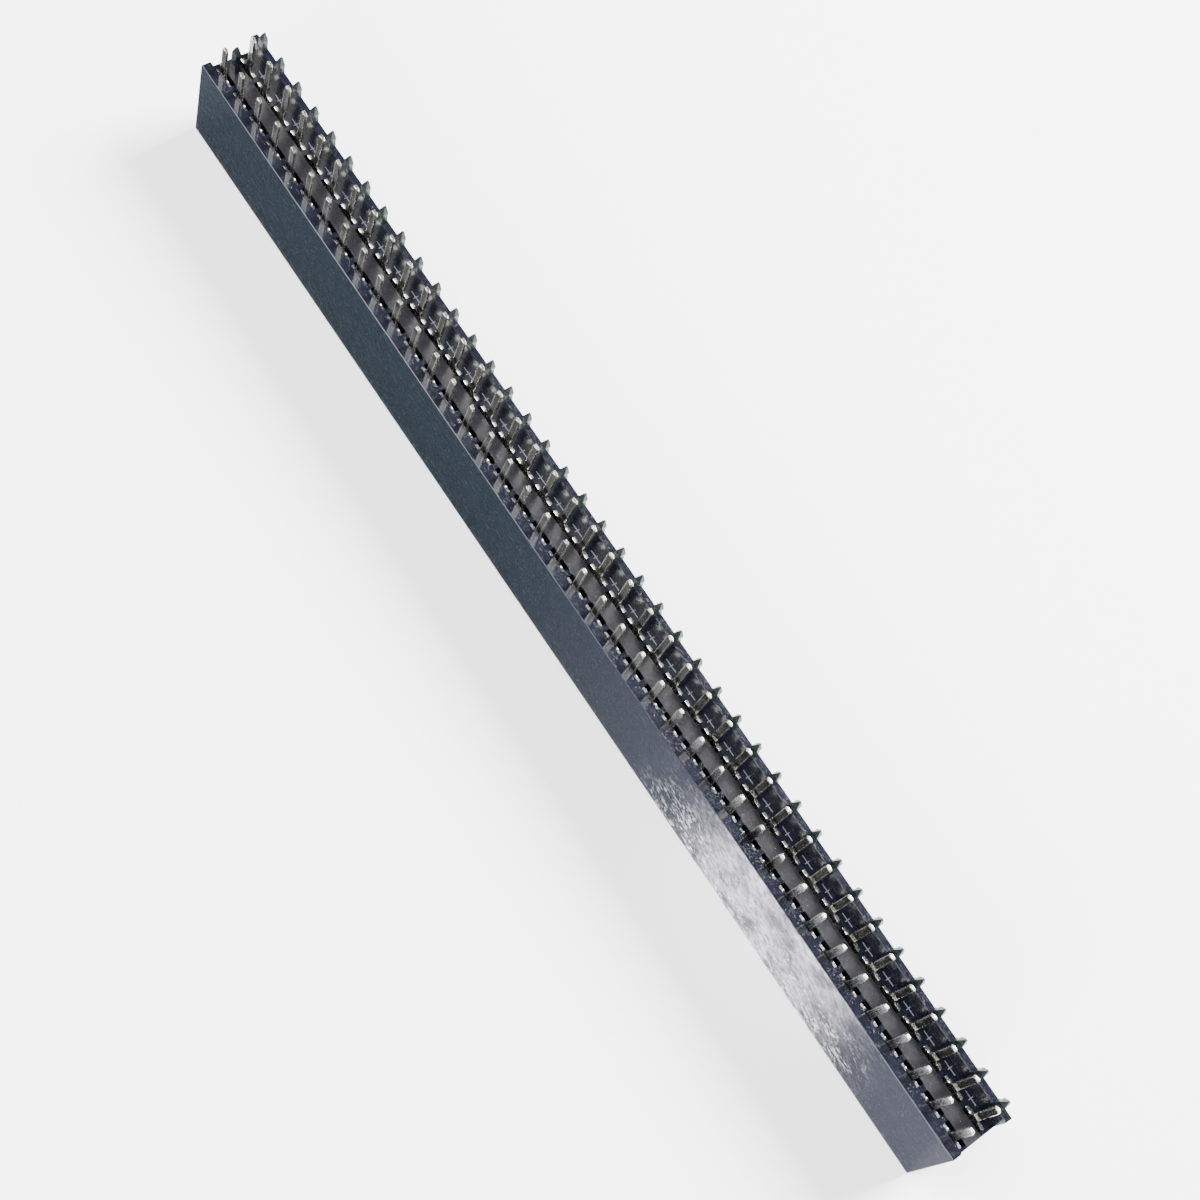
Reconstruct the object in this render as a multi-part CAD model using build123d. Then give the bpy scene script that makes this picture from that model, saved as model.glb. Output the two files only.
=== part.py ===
from build123d import *
import os

# Two-row socket strip (female pin header), 2.54 mm grid, solder tails up.
# Frame: origin at the centre of the mating face, X along the strip,
# Y across the two rows, Z from the mating face towards the solder tails.
# All lengths are in millimetres.

# Grid
PITCH = 2.54
POSITIONS = 40
ROW_SPACING = 2.54

# Housing
END_MARGIN = 1.27
BODY_LENGTH = (POSITIONS - 1) * PITCH + 2 * END_MARGIN
BODY_WIDTH = 5.1
BODY_HEIGHT = 8.5
EDGE_ROUND = 0.12
CHANNEL_EDGE = 1.7
CHANNEL_DEPTH = 0.8

# Raised lip and pointed pegs along the +Y edge
LIP_WIDTH = 0.6
LIP_HEIGHT = 1.2
PEG_HEIGHT = 1.7
PEG_FOOT = 0.84
PEG_SHANK = 0.6
PEG_TOP = 0.18
PEG_POINT_LENGTH = 0.65
PEG_DEPTH = 0.5
PEG_SINK = 0.3
PEG_TIP_INSET = 0.28

# Single peg on the land between the rows, at the -X end
END_PEG_HEIGHT = 2.85
END_PEG_OFFSET = 0.24

# Socket seen from the mating face
SOCKET_SIDE = 0.92
LEAD_IN_SIDE = 1.5
LEAD_IN_DEPTH = 0.4
SOCKET_FLOOR = 1.2

# Beam cavity above the socket, and the slot that holds the contact
CAVITY_LENGTH = 2.06
CAVITY_WIDTH = 0.92
CAVITY_TOP = 6.2
LAND_WIDTH = 1.36

# Fine raised cross on the channel floor between two contacts of the +Y row
CROSS_LENGTH = 1.27
CROSS_REACH = 0.42
CROSS_WIDTH = 0.07
CROSS_HEIGHT = 0.05
CROSS_Y = 1.7

# Stamped contact
SHEET = 0.25
PLATE_FROM_CENTRE = 1.155
SHOULDER_LENGTH = CAVITY_LENGTH
SHOULDER_BOTTOM = CAVITY_TOP
SHOULDER_RECESS = 0.08
TAIL_WIDTH = 0.6
TAIL_TIP_WIDTH = 0.36
TAIL_TIP_ROUND = 0.42
TAIL_PROUD = 2.8
TAIL_ROOT_ROUND = 0.35
TAIL_JOG = 0.35
BEAM_JOG = 0.35
JOG_CLEARANCE = 0.1
OVERLAP = 0.3
BEAM_WIDTH = 1.9
BEAM_END = 1.7
BEAM_ROOT_DROP = 0.4
BEAM_ROOT_GAP = 0.95
BEAM_PINCH_GAP = 0.56
BEAM_MOUTH_GAP = 0.9
BEAM_PINCH_HEIGHT = 3.0

# Places worked out from the sizes above
ROW_Y = ROW_SPACING / 2
FIRST_X = -(POSITIONS - 1) * PITCH / 2
FLOOR_Z = BODY_HEIGHT - CHANNEL_DEPTH
SHOULDER_TOP = FLOOR_Z - SHOULDER_RECESS
TAIL_TIP_Z = BODY_HEIGHT + TAIL_PROUD
LIP_TOP = BODY_HEIGHT + LIP_HEIGHT
SLOT_INNER_Y = LAND_WIDTH / 2
SLOT_OUTER_Y = PLATE_FROM_CENTRE + SHEET / 2
LIP_INNER_Y = BODY_WIDTH / 2 - LIP_WIDTH

# Place of the middle of a quarter round, as shares of its radius
ROUND_NEAR = 1 - 0.5 ** 0.5
ROUND_FAR = 0.5 ** 0.5


def position_x(index):
    """X of one contact position, counted from the -X end."""
    return FIRST_X + index * PITCH


def box_between(low, high):
    """Box between two opposite corners."""
    size = [high[i] - low[i] for i in range(3)]
    centre = [(high[i] + low[i]) / 2 for i in range(3)]
    return Pos(*centre) * Box(*size)


def body_block():
    """Solid outer block, with its long and upright edges slightly rounded."""
    block = Pos(0, 0, BODY_HEIGHT / 2) * Box(BODY_LENGTH, BODY_WIDTH, BODY_HEIGHT)
    return fillet(block.edges(), EDGE_ROUND)


def top_channel():
    """Shallow channel that runs the whole length between the -Y rim and the lip."""
    low = (-BODY_LENGTH, -CHANNEL_EDGE, FLOOR_Z)
    return box_between(low, (BODY_LENGTH, LIP_INNER_Y, LIP_TOP))


def raised_lip():
    """Lip that stands on the +Y rim along the whole strip."""
    low = (-BODY_LENGTH / 2, LIP_INNER_Y, BODY_HEIGHT - 2 * EDGE_ROUND)
    return box_between(low, (BODY_LENGTH / 2, BODY_WIDTH / 2, LIP_TOP))


def pointed_peg(height, lean):
    """Peg on its foot's centre: spread foot, straight shank and a short point."""
    shank_top = height - PEG_POINT_LENGTH
    sunk = Pos(0, 0, -PEG_SINK) * Rectangle(PEG_FOOT, PEG_DEPTH)
    foot = Rectangle(PEG_FOOT, PEG_DEPTH)
    waist = Pos(0, 0, shank_top / 2) * Rectangle(PEG_SHANK, PEG_DEPTH)
    neck = Pos(0, 0, shank_top) * Rectangle(PEG_SHANK, PEG_DEPTH)
    top = Pos(0, lean, height) * Rectangle(PEG_TOP, PEG_TOP)
    return loft([sunk, foot, waist, neck, top], ruled=True)


def edge_pegs():
    """One pointed peg on the lip at every contact position."""
    peg = pointed_peg(PEG_HEIGHT, LIP_WIDTH / 2 - PEG_TIP_INSET)
    base_y = (BODY_WIDTH - LIP_WIDTH) / 2
    return [Pos(position_x(i), base_y, LIP_TOP) * peg for i in range(POSITIONS)]


def end_peg():
    """The single peg between the rows at the -X end."""
    place = Pos(FIRST_X - END_PEG_OFFSET, 0, FLOOR_Z)
    return place * pointed_peg(END_PEG_HEIGHT, 0)


def floor_crosses():
    """Raised cross between every two neighbouring contacts of the +Y row."""
    along = Box(CROSS_LENGTH, CROSS_WIDTH, 2 * CROSS_HEIGHT)
    across = Box(CROSS_WIDTH, CROSS_REACH, 2 * CROSS_HEIGHT)
    cross = along + across
    return [Pos(position_x(i) + PITCH / 2, CROSS_Y, FLOOR_Z) * cross for i in range(POSITIONS - 1)]


def socket_void():
    """All that is cut for one contact in the +Y row, at X = 0."""
    mouth = loft([Rectangle(LEAD_IN_SIDE, LEAD_IN_SIDE),
                  Pos(0, 0, LEAD_IN_DEPTH) * Rectangle(SOCKET_SIDE, SOCKET_SIDE)])
    throat = box_between((-SOCKET_SIDE / 2, -SOCKET_SIDE / 2, 0),
                         (SOCKET_SIDE / 2, SOCKET_SIDE / 2, SOCKET_FLOOR))
    cavity = box_between((-CAVITY_LENGTH / 2, -CAVITY_WIDTH / 2, SOCKET_FLOOR),
                         (CAVITY_LENGTH / 2, CAVITY_WIDTH / 2, CAVITY_TOP))
    slot = box_between((-CAVITY_LENGTH / 2, SLOT_INNER_Y, CAVITY_TOP),
                       (CAVITY_LENGTH / 2, SLOT_OUTER_Y, BODY_HEIGHT))
    return Pos(0, ROW_Y, 0) * (mouth + throat + cavity) + slot


def housing():
    """The one-piece moulded housing."""
    void = socket_void()
    mirrored = mirror(void, about=Plane.XZ)
    voids = []
    for i in range(POSITIONS):
        voids.append(Pos(position_x(i), 0, 0) * void)
        voids.append(Pos(position_x(i), 0, 0) * mirrored)
    body = body_block() - top_channel()
    body = body + raised_lip()
    body = body + edge_pegs()
    body = body + floor_crosses()
    body = body + end_peg()
    return body - voids


def formed_strip():
    """Side view of the contact in the YZ plane, swept past its full X length."""
    half = SHEET / 2
    root = SHOULDER_TOP + TAIL_ROOT_ROUND
    jog_top = SHOULDER_BOTTOM - JOG_CLEARANCE
    line = [(ROW_Y, BEAM_END),
            (ROW_Y, jog_top - BEAM_JOG),
            (PLATE_FROM_CENTRE, jog_top),
            (PLATE_FROM_CENTRE, root),
            (ROW_Y, root + TAIL_JOG),
            (ROW_Y, TAIL_TIP_Z)]
    inner = [(y - half, z) for y, z in line]
    outer = [(y + half, z) for y, z in reversed(line)]
    face = make_face(Plane.YZ * Polyline(*inner, *outer, close=True))
    return extrude(face, amount=SHOULDER_LENGTH, both=True)


def tail_outline():
    """Front view of the solder tail: rounded root, straight blade, rounded tip."""
    half = TAIL_WIDTH / 2
    tip = TAIL_TIP_WIDTH / 2
    root = SHOULDER_TOP
    root_top = root + TAIL_ROOT_ROUND
    foot = half + TAIL_ROOT_ROUND
    neck = TAIL_TIP_Z - TAIL_TIP_ROUND
    root_arc = ThreePointArc((foot, root),
                             (half + ROUND_NEAR * TAIL_ROOT_ROUND, root + ROUND_NEAR * TAIL_ROOT_ROUND),
                             (half, root_top))
    side = Line((half, root_top), (half, neck))
    tip_arc = ThreePointArc((half, neck),
                            (tip + ROUND_FAR * (half - tip), neck + ROUND_FAR * TAIL_TIP_ROUND),
                            (tip, TAIL_TIP_Z))
    right = [root_arc, side, tip_arc]
    left = [mirror(edge, about=Plane.YZ) for edge in right]
    end = Line((tip, TAIL_TIP_Z), (-tip, TAIL_TIP_Z))
    base = Polyline((foot, root), (foot, root - OVERLAP), (-foot, root - OVERLAP), (-foot, root))
    return make_face([*right, end, *left, base])


def beam_outline():
    """Front view of the two spring beams that grip a pin between them."""
    outer = BEAM_WIDTH / 2
    top = SHOULDER_BOTTOM + OVERLAP
    right = [(outer, top),
             (outer, BEAM_END),
             (BEAM_MOUTH_GAP / 2, BEAM_END),
             (BEAM_PINCH_GAP / 2, BEAM_PINCH_HEIGHT),
             (BEAM_ROOT_GAP / 2, SHOULDER_BOTTOM - BEAM_ROOT_DROP)]
    left = [(-x, z) for x, z in reversed(right)]
    return make_face(Polyline(*right, *left, close=True))


def contact():
    """One stamped and formed contact of the +Y row, at X = 0."""
    middle = (SHOULDER_BOTTOM + SHOULDER_TOP) / 2
    shoulder = Pos(0, middle) * Rectangle(SHOULDER_LENGTH, SHOULDER_TOP - SHOULDER_BOTTOM)
    blank = shoulder + tail_outline() + beam_outline()
    plate = extrude(Plane.XZ * blank, amount=BODY_WIDTH, both=True)
    return plate & formed_strip()


def contact_pair(index, plus_y):
    """The two contacts of one position, one in each row."""
    place = Pos(position_x(index), 0, 0)
    minus_y = mirror(plus_y, about=Plane.XZ)
    return Compound([(place * plus_y).solid(), (place * minus_y).solid()])


os.makedirs("parts", exist_ok=True)
export_step(housing(), "parts/housing.step")
plus_y_contact = contact()
for number in range(POSITIONS):
    pair = contact_pair(number, plus_y_contact)
    export_step(pair, f"parts/contact_pair_{number + 1:02d}.step")
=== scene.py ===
import random

import bmesh
import bpy
from mathutils import Matrix, Vector


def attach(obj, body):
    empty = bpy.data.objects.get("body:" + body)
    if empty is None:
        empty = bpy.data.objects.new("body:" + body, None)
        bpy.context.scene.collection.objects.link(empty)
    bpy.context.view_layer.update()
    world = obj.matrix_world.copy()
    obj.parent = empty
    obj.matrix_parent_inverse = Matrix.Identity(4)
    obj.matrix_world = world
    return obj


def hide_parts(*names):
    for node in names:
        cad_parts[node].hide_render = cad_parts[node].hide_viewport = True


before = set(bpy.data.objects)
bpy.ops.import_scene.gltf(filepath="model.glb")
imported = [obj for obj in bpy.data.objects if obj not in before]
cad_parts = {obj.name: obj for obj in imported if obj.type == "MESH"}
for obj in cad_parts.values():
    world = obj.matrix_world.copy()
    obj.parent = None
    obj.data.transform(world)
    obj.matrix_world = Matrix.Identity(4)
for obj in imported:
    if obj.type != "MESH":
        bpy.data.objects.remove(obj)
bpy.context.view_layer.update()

# Looks of a two-row socket strip with its solder tails up.
# The frame is the CAD frame in metres: X along the strip, Y across the rows,
# Z from the mating face to the tails. The strip stands on its mating face.

# Sizes shared with the CAD model
MM = 0.001
PITCH = 2.54 * MM
POSITIONS = 40
ROW_Y = 1.27 * MM
FIRST_X = -(POSITIONS - 1) / 2 * PITCH
LAND_Z_MM = 7.7
RIM_Z_MM = 8.5
WALL_Y_MM = 2.55
LIP_TOP_MM = 9.7
LIP_INNER_MM = 1.95
TAIL_ROOT_MM = 7.8
TAIL_TIP_MM = 11.3

# Tails: how far each is bent from true, and the radius of its stamped edges
TAIL_BEND_START = 7.9 * MM
TAIL_BEND_FULL = 8.9 * MM
TAIL_TWIST_DEG = 7.0
TAIL_LEAN_Y = 0.02
TAIL_LEAN_X = 0.012
STAMPED_EDGE = 0.045 * MM
WELD_DISTANCE = 0.0005 * MM

# Housing edges
MOULDED_EDGE = 0.012 * MM
SHARP_ANGLE_DEG = 30.0


# ---------------------------------------------------------------- shader help

class Graph:
    """A material's node tree, with one short call for each kind of node."""

    def __init__(self, name):
        self.material = bpy.data.materials.new(name)
        self.material.use_nodes = True
        self.tree = self.material.node_tree
        self.tree.nodes.clear()
        self.shader = self.tree.nodes.new("ShaderNodeBsdfPrincipled")
        output = self.tree.nodes.new("ShaderNodeOutputMaterial")
        self.link(self.shader.outputs["BSDF"], output.inputs["Surface"])

    def link(self, source, target):
        self.tree.links.new(source, target)

    def put(self, value, socket):
        """Links a socket, or sets a plain value."""
        if isinstance(value, bpy.types.NodeSocket):
            self.link(value, socket)
        else:
            socket.default_value = value

    def math(self, operation, a, b=0.0, clamp=False):
        node = self.tree.nodes.new("ShaderNodeMath")
        node.operation = operation
        node.use_clamp = clamp
        self.put(a, node.inputs[0])
        self.put(b, node.inputs[1])
        return node.outputs[0]

    def position_mm(self):
        """Place on the object in millimetres."""
        coordinates = self.tree.nodes.new("ShaderNodeTexCoord")
        scale = self.tree.nodes.new("ShaderNodeVectorMath")
        scale.operation = "SCALE"
        scale.inputs["Scale"].default_value = 1 / MM
        self.link(coordinates.outputs["Object"], scale.inputs[0])
        return scale.outputs[0]

    def surface_normal(self):
        """Surface direction in the object's own frame, before any bump."""
        coordinates = self.tree.nodes.new("ShaderNodeTexCoord")
        return coordinates.outputs["Normal"]

    def split(self, vector):
        node = self.tree.nodes.new("ShaderNodeSeparateXYZ")
        self.link(vector, node.inputs[0])
        return node.outputs

    def stretched(self, vector, scale, turn=(0.0, 0.0, 0.0)):
        node = self.tree.nodes.new("ShaderNodeMapping")
        node.vector_type = "TEXTURE"
        self.link(vector, node.inputs["Vector"])
        node.inputs["Scale"].default_value = scale
        node.inputs["Rotation"].default_value = turn
        return node.outputs[0]

    def noise(self, vector, scale, detail=2.0, roughness=0.5, distortion=0.0):
        node = self.tree.nodes.new("ShaderNodeTexNoise")
        self.link(vector, node.inputs["Vector"])
        node.inputs["Scale"].default_value = scale
        node.inputs["Detail"].default_value = detail
        node.inputs["Roughness"].default_value = roughness
        node.inputs["Distortion"].default_value = distortion
        return node.outputs["Fac"]

    def cells(self, vector, scale, randomness=1.0):
        node = self.tree.nodes.new("ShaderNodeTexVoronoi")
        self.link(vector, node.inputs["Vector"])
        node.inputs["Scale"].default_value = scale
        node.inputs["Randomness"].default_value = randomness
        return node.outputs["Distance"]

    def ramp(self, value, low, high, out_low=0.0, out_high=1.0):
        """value from low..high to out_low..out_high, smooth and held outside."""
        node = self.tree.nodes.new("ShaderNodeMapRange")
        node.interpolation_type = "SMOOTHSTEP"
        self.put(value, node.inputs["Value"])
        node.inputs["From Min"].default_value = low
        node.inputs["From Max"].default_value = high
        node.inputs["To Min"].default_value = out_low
        node.inputs["To Max"].default_value = out_high
        return node.outputs["Result"]

    def window(self, value, low, high, soft):
        """1 between low and high, falling to 0 over soft on both sides."""
        rise = self.ramp(value, low - soft, low)
        fall = self.ramp(value, high, high + soft, 1.0, 0.0)
        return self.math("MULTIPLY", rise, fall)

    def mix(self, amount, a, b):
        node = self.tree.nodes.new("ShaderNodeMix")
        node.data_type = "RGBA"
        self.put(amount, node.inputs[0])
        self.put(a, node.inputs[6])
        self.put(b, node.inputs[7])
        return node.outputs[2]

    def bump(self, height, distance, strength=1.0, normal=None):
        node = self.tree.nodes.new("ShaderNodeBump")
        node.inputs["Strength"].default_value = strength
        node.inputs["Distance"].default_value = distance
        self.link(height, node.inputs["Height"])
        if normal is not None:
            self.link(normal, node.inputs["Normal"])
        return node.outputs["Normal"]

    def set(self, **values):
        for name, value in values.items():
            self.put(value, self.shader.inputs[name.replace("_", " ")])


def rgb(red, green, blue):
    return (red, green, blue, 1.0)


# ------------------------------------------------------------------ materials

def scratch_lines(graph, place, turn, thin, low, high):
    """Fine straight scratches that run along one turned direction."""
    lines = graph.stretched(place, (9.0, thin, thin), turn)
    field = graph.noise(lines, 1.0, 3.0, 0.6)
    return graph.ramp(field, low, high)


def housing_material():
    """Glossy near-black moulded plastic, scuffed and lightly dusty, with a painted reflection and painted
    highlights on the -Y wall and pale painted highlights on the crosses.
    """
    graph = Graph("glossy_black_plastic")
    place = graph.position_mm()
    x, y, z = graph.split(place)

    cloud = graph.noise(place, 0.35, 3.0)
    fine = graph.noise(place, 9.0, 4.0, 0.65)
    grain = graph.noise(place, 38.0, 2.0)

    # Where the surface is: the -Y wall, and the land between the rows
    wall = graph.ramp(y, -WALL_Y_MM + 0.15, -WALL_Y_MM + 0.02)
    land = graph.math("MULTIPLY",
                      graph.window(y, -0.7, 0.7, 0.05),
                      graph.window(z, LAND_Z_MM - 0.1, LAND_Z_MM + 0.1, 0.05))

    # The pegs above the lip, and the inner face of the lip
    peg = graph.ramp(z, LIP_TOP_MM, LIP_TOP_MM + 0.1)
    lip_face = graph.window(y, LIP_INNER_MM - 0.06, LIP_INNER_MM + 0.06, 0.02)

    # The fine raised crosses beside the +Y row, painted pale as a highlight on their edges
    cross = graph.math("MULTIPLY",
                       graph.window(z, LAND_Z_MM + 0.03, LAND_Z_MM + 0.06, 0.01),
                       graph.window(y, 1.46, 1.93, 0.01))

    # Scratches in three directions
    along = scratch_lines(graph, place, (0.0, 0.12, 0.03), 0.035, 0.62, 0.72)
    slanted = scratch_lines(graph, place, (0.0, 0.55, 0.5), 0.045, 0.64, 0.74)
    steep = scratch_lines(graph, place, (0.3, -1.1, -0.9), 0.04, 0.64, 0.74)
    lines = graph.math("MAXIMUM", graph.math("MAXIMUM", along, slanted), steep)

    # Handling scuffs on the wall with a painted glint: pale specks, densest low down near the +X end, partly
    # real scuffs and partly a painted highlight
    reach = graph.window(x, 22.0, 37.0, 8.0)
    patch = graph.math("MULTIPLY", reach, graph.ramp(z, 7.0, 1.5, 0.12, 1.0))
    broken = graph.ramp(graph.noise(place, 0.9, 4.0, 0.7), 0.38, 0.60)
    flecks = graph.stretched(place, (0.42, 0.22, 0.22), (0.0, 0.25, 0.0))
    specks = graph.ramp(graph.noise(flecks, 1.0, 3.0, 0.7), 0.50, 0.58)
    # Painted highlight: a pale glow on the -Y wall around x 27 to 33 mm, broken up by noise
    painted_sheen = graph.math("MULTIPLY", graph.window(x, 27.0, 33.0, 9.0), wall)
    painted_sheen = graph.math("MULTIPLY", painted_sheen, graph.ramp(cloud, 0.30, 0.62, 0.25, 1.0))
    sheen_breakup = graph.noise(graph.stretched(place, (0.9, 0.5, 0.5), (0.0, 0.4, 0.0)), 1.0, 5.0, 0.75)
    painted_sheen = graph.math("MULTIPLY", painted_sheen, graph.ramp(sheen_breakup, 0.36, 0.60, 0.30, 1.0))
    scuff_and_glint = graph.math("MULTIPLY", specks, graph.math("MULTIPLY", patch, broken))
    scuff_and_glint = graph.math("MULTIPLY", scuff_and_glint, wall)

    # Dust: small separate grains everywhere
    grains = graph.ramp(graph.cells(place, 2.6), 0.10, 0.05)
    spread = graph.ramp(graph.noise(place, 0.8, 2.0), 0.5, 0.7)
    dust = graph.math("MULTIPLY", grains, spread)

    plastic = graph.mix(cloud, rgb(0.0040, 0.0046, 0.0085), rgb(0.0062, 0.0070, 0.0125))
    # Painted reflection: the -Y wall gets a lighter slate colour, brighter towards +X, in place of the floor it
    # reflects
    painted_wall_reflection = graph.mix(graph.ramp(x, -10.0, 35.0), rgb(0.0070, 0.0120, 0.0175), rgb(0.021, 0.022, 0.035))
    plastic = graph.mix(graph.math("MULTIPLY", wall, 0.8), plastic, painted_wall_reflection)
    plastic = graph.mix(graph.math("MULTIPLY", painted_sheen, 0.85), plastic, rgb(0.60, 0.56, 0.62))
    plastic = graph.mix(graph.math("MULTIPLY", land, 0.6), plastic, rgb(0.017, 0.0155, 0.0165))
    plastic = graph.mix(graph.math("MULTIPLY", peg, 0.8), plastic, rgb(0.014, 0.018, 0.019))
    # Painted highlight: the crosses are made pale
    plastic = graph.mix(graph.math("MULTIPLY", cross, 0.85), plastic, rgb(0.16, 0.16, 0.20))
    plastic = graph.mix(graph.math("MULTIPLY", lines, 0.10), plastic, rgb(0.20, 0.21, 0.23))
    plastic = graph.mix(graph.math("MULTIPLY", scuff_and_glint, 0.85), plastic, rgb(0.85, 0.85, 0.90))
    plastic = graph.mix(graph.math("MULTIPLY", dust, 0.55), plastic, rgb(0.36, 0.34, 0.31))

    rough = graph.ramp(fine, 0.3, 0.75, 0.05, 0.13)
    rough = graph.math("ADD", rough, graph.math("MULTIPLY", wall, 0.09))
    rough = graph.math("ADD", rough, graph.math("MULTIPLY", land, 0.14))
    rough = graph.math("ADD", rough, graph.math("MULTIPLY", graph.math("MAXIMUM", peg, lip_face), 0.16))
    rough = graph.math("ADD", rough, graph.math("MULTIPLY", lines, 0.22))
    rough = graph.math("ADD", rough, graph.math("MULTIPLY", scuff_and_glint, 0.30))
    rough = graph.math("ADD", rough, graph.math("MULTIPLY", dust, 0.45), clamp=True)

    normal = graph.bump(cloud, 0.05 * MM, 0.5)
    normal = graph.bump(grain, 0.0015 * MM, 0.35, normal)
    normal = graph.bump(lines, -0.006 * MM, 0.5, normal)
    normal = graph.bump(dust, 0.02 * MM, 0.6, normal)
    normal = graph.bump(scuff_and_glint, -0.05 * MM, 0.9, normal)

    graph.set(Base_Color=plastic, Roughness=rough, Normal=normal, IOR=1.40)
    return graph.material


def contact_material():
    """Bright tin plating on stamped strip: drawn grain, stains and one tone per contact, with painted shade on
    the flat tail faces and the -Y row's feet.
    """
    graph = Graph("tin_plated_contact")
    place = graph.position_mm()
    x, y, z = graph.split(place)

    # One random number for each contact
    cell = graph.tree.nodes.new("ShaderNodeCombineXYZ")
    step = graph.math("ROUND", graph.math("DIVIDE", graph.math("SUBTRACT", x, FIRST_X / MM), PITCH / MM))
    graph.put(step, cell.inputs[0])
    graph.put(graph.math("SIGN", y), cell.inputs[1])
    dice = graph.tree.nodes.new("ShaderNodeTexWhiteNoise")
    dice.noise_dimensions = "3D"
    graph.link(cell.outputs[0], dice.inputs["Vector"])
    draw = dice.outputs["Value"]

    drawn = graph.noise(graph.stretched(place, (0.12, 0.12, 1.8)), 1.0, 3.0, 0.6)
    stain = graph.noise(place, 1.7, 3.0, 0.6, 0.4)
    spots = graph.ramp(graph.noise(place, 6.0, 4.0, 0.7), 0.56, 0.70)

    # The flat faces of the tails get painted shade, so that their stamped edges and cut ends stay bright as lit
    # outlines
    tail = graph.ramp(z, TAIL_ROOT_MM, TAIL_ROOT_MM + 0.4)
    tip = graph.ramp(z, TAIL_TIP_MM - 0.22, TAIL_TIP_MM - 0.12)
    facing = graph.math("ABSOLUTE", graph.split(graph.surface_normal())[1])
    painted_face_shade = graph.math("MULTIPLY", graph.ramp(facing, 0.80, 0.97), tail)
    painted_face_shade = graph.math("MULTIPLY", painted_face_shade, graph.math("SUBTRACT", 1.0, tip))
    axis = graph.math("ADD", graph.math("MULTIPLY", step, PITCH / MM), FIRST_X / MM)
    from_axis = graph.math("ABSOLUTE", graph.math("SUBTRACT", x, axis))
    painted_face_shade = graph.math("MULTIPLY", painted_face_shade, graph.ramp(from_axis, 0.25, 0.19))
    # Some -Y row contacts between x 5 and 18 mm are left without the painted shade, so their faces read as lit
    unshaded_faces = graph.math("MULTIPLY", graph.ramp(x, 5.0, 18.0), graph.ramp(y, 0.1, -0.1))
    unshaded_faces = graph.math("MULTIPLY", unshaded_faces, graph.ramp(draw, 0.35, 0.45))
    painted_face_shade = graph.math("MULTIPLY", painted_face_shade, graph.math("SUBTRACT", 1.0, unshaded_faces))
    # Painted shade: the feet of the -Y row below the tail root are darkened
    painted_foot_shade = graph.math("MULTIPLY", graph.ramp(y, 0.1, -0.1), graph.ramp(z, TAIL_ROOT_MM + 0.1, TAIL_ROOT_MM))

    tin = graph.mix(draw, rgb(0.78, 0.78, 0.73), rgb(0.90, 0.90, 0.87))
    tin = graph.mix(graph.ramp(stain, 0.42, 0.70, 0.0, 0.55), tin, rgb(0.60, 0.59, 0.44))
    tin = graph.mix(graph.math("MULTIPLY", painted_face_shade, 0.88), tin, rgb(0.11, 0.115, 0.09))
    tin = graph.mix(graph.math("MULTIPLY", painted_foot_shade, 0.85), tin, rgb(0.12, 0.12, 0.125))
    tin = graph.mix(graph.math("MULTIPLY", spots, 0.35), tin, rgb(0.26, 0.26, 0.20))

    rough = graph.ramp(drawn, 0.3, 0.7, 0.17, 0.24)
    rough = graph.math("ADD", rough, graph.math("MULTIPLY", draw, 0.08))
    rough = graph.math("ADD", rough, graph.math("MULTIPLY", spots, 0.16), clamp=True)

    normal = graph.bump(drawn, 0.001 * MM, 0.25)
    normal = graph.bump(stain, 0.01 * MM, 0.5, normal)
    graph.set(Base_Color=tin, Metallic=1.0, Roughness=rough, Normal=normal)
    return graph.material


def floor_material():
    graph = Graph("pale_floor")
    place = graph.position_mm()
    tone = graph.noise(place, 0.01, 2.0)
    paper = graph.mix(tone, rgb(0.93, 0.93, 0.94), rgb(0.95, 0.95, 0.95))
    graph.set(Base_Color=paper, Roughness=0.7)
    return graph.material


# --------------------------------------------------------------------- pieces

def add_edge_rounding(piece, radius, segments):
    """Weld and a small rounding on the sharp edges, as modifiers."""
    weld = piece.modifiers.new("weld", "WELD")
    weld.merge_threshold = WELD_DISTANCE
    bevel = piece.modifiers.new("edge", "BEVEL")
    bevel.width = radius
    bevel.segments = segments
    bevel.limit_method = "ANGLE"
    bevel.angle_limit = SHARP_ANGLE_DEG * 3.14159265 / 180
    bevel.use_clamp_overlap = True
    bevel.harden_normals = False


def bend_tail(vertex, row_y, axis_x, twist, lean_x, lean_y):
    """Turns and leans one vertex of a tail, fully above the bend."""
    amount = (vertex.co.z - TAIL_BEND_START) / (TAIL_BEND_FULL - TAIL_BEND_START)
    if amount <= 0:
        return
    amount = min(amount, 1.0)
    offset = Vector((vertex.co.x - axis_x, vertex.co.y - row_y))
    offset.rotate(Matrix.Rotation(twist * amount, 2))
    rise = vertex.co.z - TAIL_BEND_START
    vertex.co.x = axis_x + offset.x + lean_x * rise
    vertex.co.y = row_y + offset.y + lean_y * rise


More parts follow.
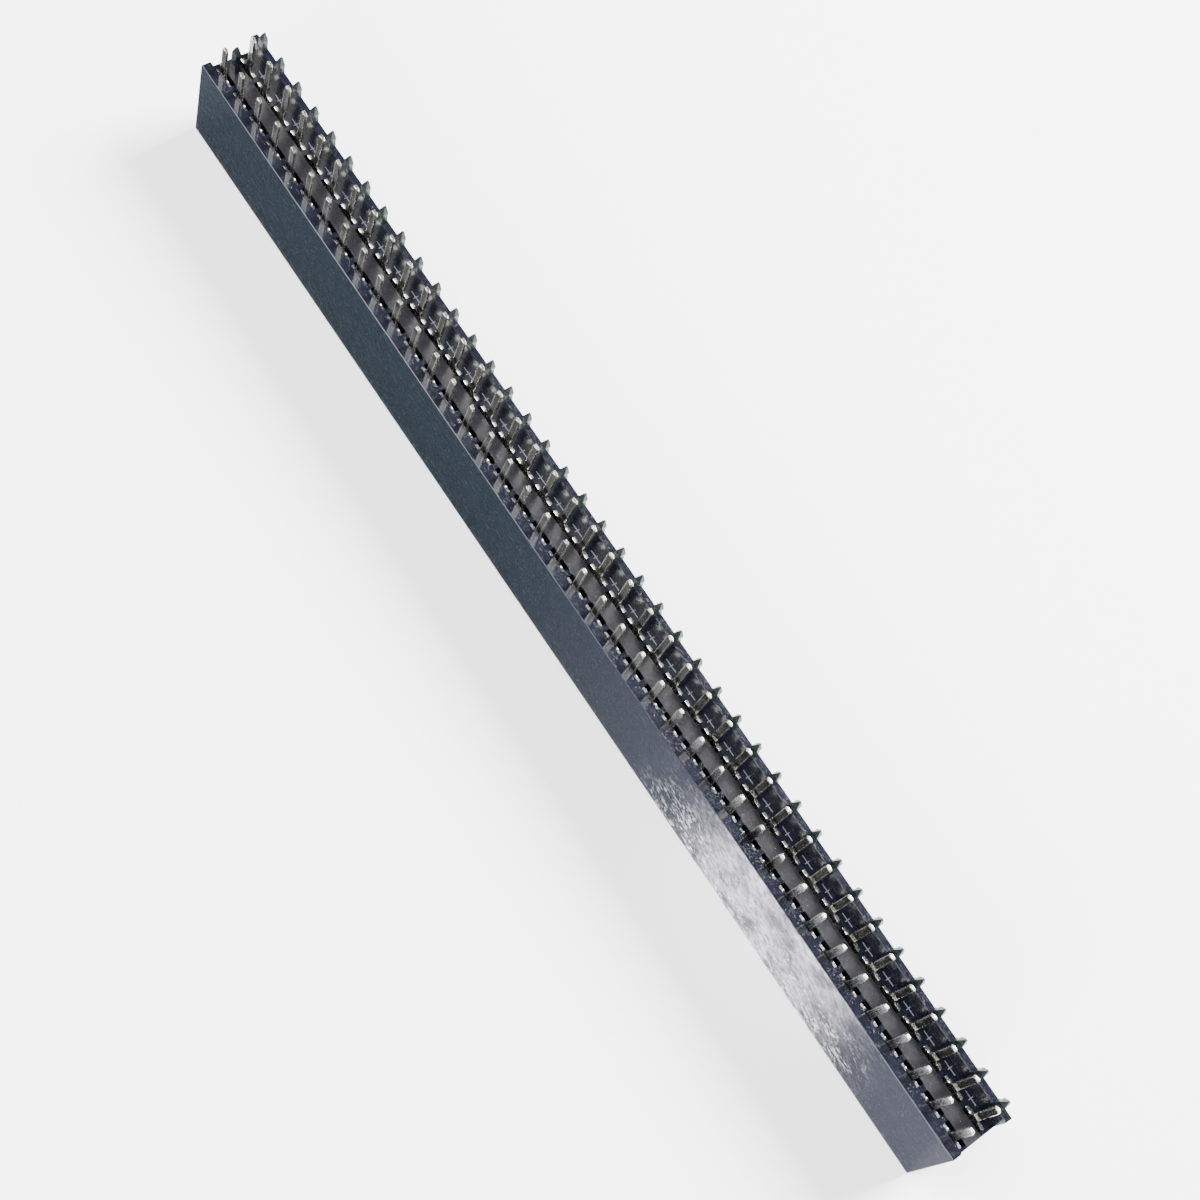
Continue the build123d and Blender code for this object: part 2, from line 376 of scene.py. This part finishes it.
def formed_pair(node, index, draw):
    """The two contacts of one position, each tail a little out of true."""
    mesh = node.data.copy()
    edit = bmesh.new()
    edit.from_mesh(mesh)
    bmesh.ops.remove_doubles(edit, verts=edit.verts, dist=WELD_DISTANCE)
    axis_x = FIRST_X + index * PITCH
    bends = {}
    for side in (-1, 1):
        twist = draw.uniform(-TAIL_TWIST_DEG, TAIL_TWIST_DEG) * 3.14159265 / 180
        bends[side] = (twist, draw.uniform(-TAIL_LEAN_X, TAIL_LEAN_X),
                       draw.uniform(-TAIL_LEAN_Y, TAIL_LEAN_Y))
    for vertex in edit.verts:
        side = 1 if vertex.co.y > 0 else -1
        bend_tail(vertex, side * ROW_Y, axis_x, *bends[side])
    edit.to_mesh(mesh)
    edit.free()
    piece = bpy.data.objects.new(f"formed_pair_{index + 1:02d}", mesh)
    bpy.context.scene.collection.objects.link(piece)
    add_edge_rounding(piece, STAMPED_EDGE, 2)
    return piece


def set_material(piece, material):
    piece.data.materials.clear()
    piece.data.materials.append(material)


plastic = housing_material()
tin = contact_material()

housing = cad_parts["housing"]
for slot_index in range(len(housing.material_slots)):
    housing.material_slots[slot_index].material = plastic
add_edge_rounding(housing, MOULDED_EDGE, 2)

draw = random.Random(7)
for index in range(POSITIONS):
    name = f"contact_pair_{index + 1:02d}"
    pair = formed_pair(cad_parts[name], index, draw)
    set_material(pair, tin)
    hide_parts(name)
    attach(pair, "root")


# ---------------------------------------------------------------------- stage

def floor_sheet():
    """Pale sheet under the strip."""
    size = 3.0
    mesh = bpy.data.meshes.new("floor")
    corners = [(-size, -size, 0), (size, -size, 0), (size, size, 0), (-size, size, 0)]
    mesh.from_pydata(corners, [], [(0, 1, 2, 3)])
    sheet = bpy.data.objects.new("floor", mesh)
    bpy.context.scene.collection.objects.link(sheet)
    set_material(sheet, floor_material())
    return sheet


def area_light(name, place, target, size, power, colour=(1.0, 1.0, 1.0)):
    """A rectangular soft light that faces target."""
    data = bpy.data.lights.new(name, "AREA")
    data.shape = "RECTANGLE"
    data.size, data.size_y = size
    data.energy = power
    data.color = colour
    light = bpy.data.objects.new(name, data)
    light.location = place
    aim = Vector(target) - Vector(place)
    light.rotation_euler = aim.to_track_quat("-Z", "Y").to_euler()
    bpy.context.scene.collection.objects.link(light)
    return light


floor_sheet()
area_light("key", (0.05, 0.50, 0.45), (0, 0, 0), (0.30, 0.30), 26.0)
area_light("fill", (0.22, -0.50, 0.30), (0.03, 0, 0), (0.25, 0.20), 7.0, (0.96, 0.98, 1.0))
area_light("top", (-0.35, -0.25, 0.75), (0, 0, 0), (0.5, 0.5), 19.0)


def reflection_card():
    """Dark card on the floor by the wall, seen only in reflections, that fades out towards +X: painted shade, so
    the wall reflects a darkened floor.
    """
    mesh = bpy.data.meshes.new("reflection_card")
    near, far = -2.62 * MM, -60 * MM
    left, right, height = -90 * MM, 60 * MM, 0.05 * MM
    corners = [(left, far, height), (right, far, height), (right, near, height), (left, near, height)]
    mesh.from_pydata(corners, [], [(0, 1, 2, 3)])
    card = bpy.data.objects.new("reflection_card", mesh)
    bpy.context.scene.collection.objects.link(card)
    graph = Graph("reflection_shade_card")
    x = graph.split(graph.position_mm())[0]
    graph.set(Base_Color=rgb(0.02, 0.025, 0.03), Roughness=0.9, Alpha=graph.ramp(x, -10.0, 30.0, 0.97, 0.80))
    set_material(card, graph.material)
    card.visible_camera = False
    card.visible_diffuse = False
    card.visible_shadow = False
    return card


reflection_card()

def studio_world():
    """Pale round the horizon and dim overhead, so that glossy tops stay dark."""
    world = bpy.data.worlds.new("studio")
    world.use_nodes = True
    tree = world.node_tree
    background = tree.nodes["Background"]
    background.inputs["Color"].default_value = rgb(0.94, 0.96, 1.0)
    coordinates = tree.nodes.new("ShaderNodeTexCoord")
    split = tree.nodes.new("ShaderNodeSeparateXYZ")
    fade = tree.nodes.new("ShaderNodeMapRange")
    fade.inputs["From Min"].default_value = 0.05
    fade.inputs["From Max"].default_value = 0.55
    fade.inputs["To Min"].default_value = 0.55
    fade.inputs["To Max"].default_value = 0.18
    tree.links.new(coordinates.outputs["Generated"], split.inputs[0])
    tree.links.new(split.outputs[2], fade.inputs["Value"])
    tree.links.new(fade.outputs["Result"], background.inputs["Strength"])
    return world


bpy.context.scene.world = studio_world()


# --------------------------------------------------------------------- camera

CAMERA_PLACE = Vector((29.4695, -59.4325, 139.0132)) * MM
CAMERA_RIGHT = Vector((0.55859, 0.79216, 0.24589))
CAMERA_DOWN = Vector((0.80959, -0.45624, -0.36933))
CAMERA_LENS = 58.04
CAMERA_SENSOR = 36.0


def photo_camera():
    """Camera above the -Y side, near the +X end, looking down along the strip."""
    data = bpy.data.cameras.new("camera")
    data.lens = CAMERA_LENS
    data.sensor_width = CAMERA_SENSOR
    data.clip_start = 0.001
    camera = bpy.data.objects.new("camera", data)
    right = CAMERA_RIGHT.normalized()
    back = right.cross(-CAMERA_DOWN).normalized()
    up = back.cross(right)
    camera.matrix_world = Matrix.Translation(CAMERA_PLACE) @ Matrix((right, up, back)).transposed().to_4x4()
    bpy.context.scene.collection.objects.link(camera)
    return camera


bpy.context.scene.camera = photo_camera()
